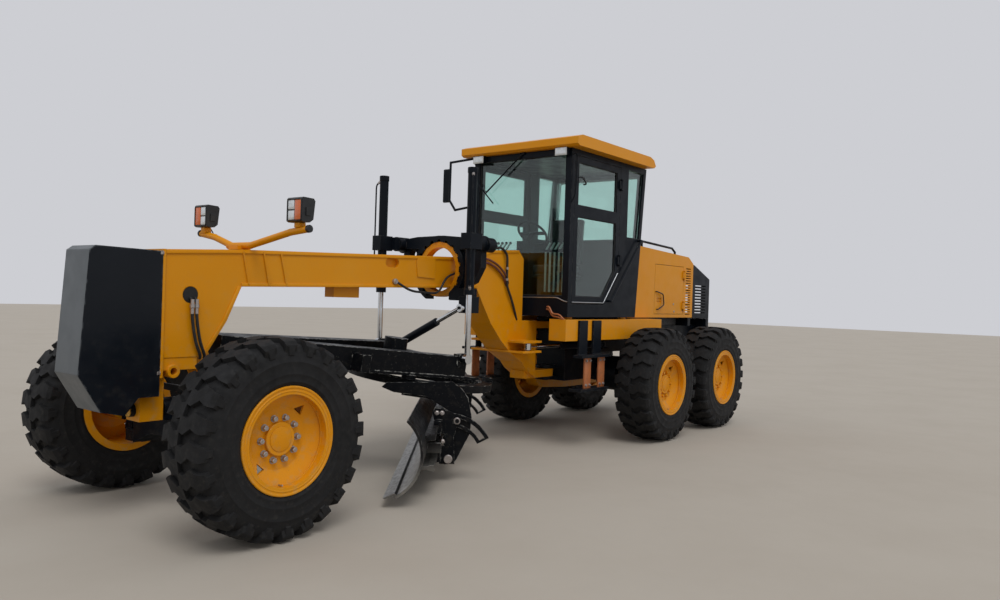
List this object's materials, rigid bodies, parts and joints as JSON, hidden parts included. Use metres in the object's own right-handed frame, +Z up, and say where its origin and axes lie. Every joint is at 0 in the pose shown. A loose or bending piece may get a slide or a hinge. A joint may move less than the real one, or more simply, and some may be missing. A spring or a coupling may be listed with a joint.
{
  "type": "motor grader",
  "caption": "Articulated motor grader with a long arched front frame, cab, tandem drive and a turned blade hung from a circle and drawbar.",
  "frame": {"origin": "centre of the machine's length and width on the ground, at the bottom of the tyres", "axes": "+X forward along the frame, +Y to the machine's left, +Z up"},
  "size_m": [9.058, 2.5845, 3.425],
  "materials": {
    "black_enamel": "satin",
    "cast_iron": "as cast",
    "chrome": "polished",
    "glass": "tinted",
    "hose_rubber": "matt",
    "lamp_housing": "matt",
    "seat_cloth": "matt",
    "tyre_rubber": "matt",
    "worn_steel": "worn",
    "yellow_enamel": "gloss"
  },
  "bodies": {
    "rear_frame": {"rear_frame": "black_enamel", "engine": "cast_iron", "hood": "yellow_enamel", "rear_grille": "black_enamel", "side_boxes": "yellow_enamel", "rear_axle": "black_enamel", "tandem_cases": "yellow_enamel", "tow_hitch": "black_enamel", "cab_frame": "black_enamel", "cab_roof": "yellow_enamel", "cab_glass": "glass", "cab_seat": "seat_cloth", "cab_controls": "black_enamel", "ladders": "black_enamel", "rails_and_lamps": "black_enamel"},
    "front_frame": {"front_frame": "yellow_enamel", "nose_cover": "black_enamel", "lamp_bar": "yellow_enamel", "lamps": "lamp_housing", "saddle": "black_enamel", "lift_barrels": "black_enamel", "hoses": "hose_rubber", "front_axle": "black_enamel"},
    "cab_door_left": {"cab_door_left": "black_enamel", "door_glass_left": "glass"},
    "cab_door_right": {"cab_door_right": "black_enamel", "door_glass_right": "glass"},
    "engine_door_left": {"engine_door_left": "yellow_enamel"},
    "engine_door_right": {"engine_door_right": "yellow_enamel"},
    "drawbar": {"drawbar": "black_enamel"},
    "lift_rods": {"lift_rods": "chrome"},
    "shift_rod": {"shift_rod": "chrome"},
    "shift_barrel": {"shift_barrel": "black_enamel"},
    "blade_circle": {"blade_circle": "black_enamel"},
    "blade_carrier": {"blade_carrier": "black_enamel"},
    "blade": {"mouldboard": "worn_steel", "cutting_edge": "worn_steel", "side_shift_rod": "chrome"},
    "lean_left": {"lean_yoke_left": "black_enamel"},
    "lean_right": {"lean_yoke_right": "black_enamel"},
    "lean_bar": {"lean_bar": "black_enamel"},
    "steer_left": {"knuckle_left": "black_enamel"},
    "steer_right": {"knuckle_right": "black_enamel"},
    "tie_rod": {"tie_rod": "black_enamel"},
    "bend_barrel_left": {"bend_barrel_left": "black_enamel"},
    "bend_barrel_right": {"bend_barrel_right": "black_enamel"},
    "bend_rod_left": {"bend_rod_left": "chrome"},
    "bend_rod_right": {"bend_rod_right": "chrome"},
    "wheel_front_left": {"tyre_front_left": "tyre_rubber", "rim_front_left": "yellow_enamel"},
    "wheel_front_right": {"tyre_front_right": "tyre_rubber", "rim_front_right": "yellow_enamel"},
    "wheel_middle_left": {"tyre_middle_left": "tyre_rubber", "rim_middle_left": "yellow_enamel"},
    "wheel_middle_right": {"tyre_middle_right": "tyre_rubber", "rim_middle_right": "yellow_enamel"},
    "wheel_rear_left": {"tyre_rear_left": "tyre_rubber", "rim_rear_left": "yellow_enamel"},
    "wheel_rear_right": {"tyre_rear_right": "tyre_rubber", "rim_rear_right": "yellow_enamel"}
  },
  "joints": [
    {"name": "articulation", "type": "hinge", "parent": "rear_frame", "child": "front_frame", "pos_m": [-0.985, 0, 1.05], "axis": [0, 0, 1], "range_deg": [-20, 20]},
    {"name": "bend_swing_left", "type": "hinge", "parent": "rear_frame", "child": "bend_barrel_left", "pos_m": [-1.585, 0.42, 1.11], "axis": [0, 0, 1], "range_deg": [-10.9, 10.9]},
    {"name": "bend_stroke_left", "type": "slide", "parent": "bend_barrel_left", "child": "bend_rod_left", "axis": [0.9962, -0.0873, 0], "range_m": [-0.13, 0.13]},
    {"name": "bend_swing_right", "type": "hinge", "parent": "rear_frame", "child": "bend_barrel_right", "pos_m": [-1.585, -0.42, 1.11], "axis": [0, 0, 1], "range_deg": [-10.9, 10.9]},
    {"name": "bend_stroke_right", "type": "slide", "parent": "bend_barrel_right", "child": "bend_rod_right", "axis": [0.9962, 0.0873, 0], "range_m": [-0.13, 0.13]},
    {"name": "drawbar_lift", "type": "hinge", "parent": "front_frame", "child": "drawbar", "pos_m": [3.535, 0, 1.06], "axis": [0, 1, 0], "range_deg": [-1.4, 9.5]},
    {"name": "lift_stroke", "type": "slide", "parent": "front_frame", "child": "lift_rods", "axis": [0, 0, 1], "range_m": [-0.06, 0.395]},
    {"name": "shift_swing", "type": "hinge", "parent": "front_frame", "child": "shift_rod", "pos_m": [1.05, 0.406, 1.529], "axis": [-1, 0, 0], "range_deg": [-4, 26.6]},
    {"name": "shift_stroke", "type": "slide", "parent": "shift_rod", "child": "shift_barrel", "axis": [0, -0.9013, -0.4333], "range_m": [-0.095, 0.015]},
    {"name": "circle_turn", "type": "hinge", "parent": "drawbar", "child": "blade_circle", "pos_m": [1.148, -0.009, 0.872], "axis": [-0.0783, 0.0934, 0.9925], "range_deg": [0, 80]},
    {"name": "blade_pitch", "type": "hinge", "parent": "blade_circle", "child": "blade_carrier", "pos_m": [0.93852, 0.2413, 0.21], "axis": [0.766, 0.6428, 0], "range_deg": [0, 40]},
    {"name": "blade_side_shift", "type": "slide", "parent": "blade_carrier", "child": "blade", "axis": [0.766, 0.6428, 0], "range_m": [-0.5, 0.5]},
    {"name": "wheel_lean_left", "type": "hinge", "parent": "front_frame", "child": "lean_left", "pos_m": [3.665, 0.615, 0.47], "axis": [1, 0, 0], "range_deg": [-17, 17]},
    {"name": "wheel_lean_right", "type": "hinge", "parent": "front_frame", "child": "lean_right", "pos_m": [3.665, -0.615, 0.47], "axis": [1, 0, 0], "range_deg": [-17, 17]},
    {"name": "lean_bar_level", "type": "hinge", "parent": "lean_left", "child": "lean_bar", "pos_m": [3.665, 0.615, 0.9], "axis": [1, 0, 0], "range_deg": [-17, 17]},
    {"name": "steering_left", "type": "hinge", "parent": "lean_left", "child": "steer_left", "pos_m": [3.665, 0.77, 0.675], "axis": [0, 0, 1], "range_deg": [-45, 45]},
    {"name": "steering_right", "type": "hinge", "parent": "lean_right", "child": "steer_right", "pos_m": [3.665, -0.77, 0.675], "axis": [0, 0, 1], "range_deg": [-45, 45]},
    {"name": "tie_rod_stroke", "type": "slide", "parent": "front_frame", "child": "tie_rod", "axis": [0, 1, 0], "range_m": [-0.093, 0.093]},
    {"name": "wheel_front_left_spin", "type": "hinge", "parent": "steer_left", "child": "wheel_front_left", "pos_m": [3.665, 1.04, 0.669], "axis": [0, 1, 0], "continuous": true},
    {"name": "wheel_front_right_spin", "type": "hinge", "parent": "steer_right", "child": "wheel_front_right", "pos_m": [3.665, -1.04, 0.669], "axis": [0, 1, 0], "continuous": true},
    {"name": "wheel_middle_left_spin", "type": "hinge", "parent": "rear_frame", "child": "wheel_middle_left", "pos_m": [-1.8525, 1.04, 0.669], "axis": [0, 1, 0], "continuous": true},
    {"name": "wheel_middle_right_spin", "type": "hinge", "parent": "rear_frame", "child": "wheel_middle_right", "pos_m": [-1.8525, -1.04, 0.669], "axis": [0, 1, 0], "continuous": true},
    {"name": "wheel_rear_left_spin", "type": "hinge", "parent": "rear_frame", "child": "wheel_rear_left", "pos_m": [-3.3975, 1.04, 0.669], "axis": [0, 1, 0], "continuous": true},
    {"name": "wheel_rear_right_spin", "type": "hinge", "parent": "rear_frame", "child": "wheel_rear_right", "pos_m": [-3.3975, -1.04, 0.669], "axis": [0, 1, 0], "continuous": true},
    {"name": "cab_door_left_swing", "type": "hinge", "parent": "rear_frame", "child": "cab_door_left", "pos_m": [-1.4575, 0.706, 2.4], "axis": [0, 0, 1], "range_deg": [0, 85]},
    {"name": "cab_door_right_swing", "type": "hinge", "parent": "rear_frame", "child": "cab_door_right", "pos_m": [-1.4575, -0.706, 2.4], "axis": [0, 0, -1], "range_deg": [0, 85]},
    {"name": "engine_door_left_swing", "type": "hinge", "parent": "rear_frame", "child": "engine_door_left", "pos_m": [-3.5975, 0.536, 1.82], "axis": [0, 0, 1], "range_deg": [0, 95]},
    {"name": "engine_door_right_swing", "type": "hinge", "parent": "rear_frame", "child": "engine_door_right", "pos_m": [-3.5975, -0.536, 1.82], "axis": [0, 0, -1], "range_deg": [0, 95]}
  ],
  "couplings": [
    {"joint": "bend_swing_left", "follows": "articulation", "ratio": 0.54},
    {"joint": "bend_swing_right", "follows": "articulation", "ratio": 0.54},
    {"joint": "bend_stroke_left", "follows": "articulation", "m_per_rad": -0.366},
    {"joint": "bend_stroke_right", "follows": "articulation", "m_per_rad": 0.366},
    {"joint": "lift_stroke", "follows": "drawbar_lift", "m_per_rad": 2.37},
    {"joint": "shift_swing", "follows": "drawbar_lift", "ratio": 2.78},
    {"joint": "shift_stroke", "follows": "drawbar_lift", "m_per_rad": -0.56},
    {"joint": "wheel_lean_right", "follows": "wheel_lean_left", "ratio": 1},
    {"joint": "lean_bar_level", "follows": "wheel_lean_left", "ratio": -1},
    {"joint": "steering_right", "follows": "steering_left", "ratio": 1},
    {"joint": "tie_rod_stroke", "follows": "steering_left", "m_per_rad": -0.117}
  ]
}
